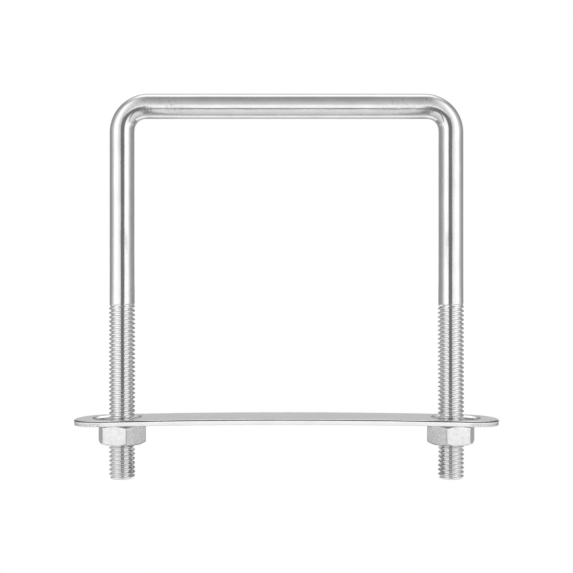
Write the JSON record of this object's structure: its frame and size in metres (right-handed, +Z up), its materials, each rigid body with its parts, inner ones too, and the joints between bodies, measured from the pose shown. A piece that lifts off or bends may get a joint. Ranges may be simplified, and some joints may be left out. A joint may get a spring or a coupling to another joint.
{
  "type": "u-bolt",
  "caption": "Square U-bolt: a round steel rod bent to a square U with threaded legs, a slotted strap plate across them and hex nuts underneath.",
  "frame": {"origin": "midway between the tips of the two legs, on the plane that they stand on", "axes": "+Z up from the leg tips to the crossbar; +X from the left leg to the right leg, along the strap plate; +Y across the strap plate, away from the viewer"},
  "size_m": [0.0976, 0.013, 0.0884],
  "materials": {
    "rod_steel": "bright drawn stainless steel, fine lengthwise drawing lines, rolled thread",
    "plate_steel": "satin cold-rolled stainless steel with bright sheared edges",
    "nut_steel": "satin stainless steel, slightly mottled by tumbling"
  },
  "bodies": {
    "rod": {"u_rod": "rod_steel"},
    "plate": {"strap_plate": "plate_steel"},
    "nut_left": {"hex_nut_left": "nut_steel"},
    "nut_right": {"hex_nut_right": "nut_steel"}
  },
  "joints": [
    {"name": "plate_travel", "type": "slide", "parent": "rod", "child": "plate", "axis": [0, 0, 1], "range_m": [-0.0077, 0.0268]},
    {"name": "nut_left_spin", "type": "hinge", "parent": "plate", "child": "nut_left", "pos_m": [-0.03785, 0, 0.00775], "axis": [0, 0, 1], "range_deg": [-2772, 9648]},
    {"name": "nut_right_spin", "type": "hinge", "parent": "plate", "child": "nut_right", "pos_m": [0.03785, 0, 0.00775], "axis": [0, 0, 1], "range_deg": [-2772, 9648]}
  ],
  "couplings": [
    {"joint": "nut_left_spin", "follows": "plate_travel", "rad_per_m": 6283.2},
    {"joint": "nut_right_spin", "follows": "plate_travel", "rad_per_m": 6283.2}
  ]
}
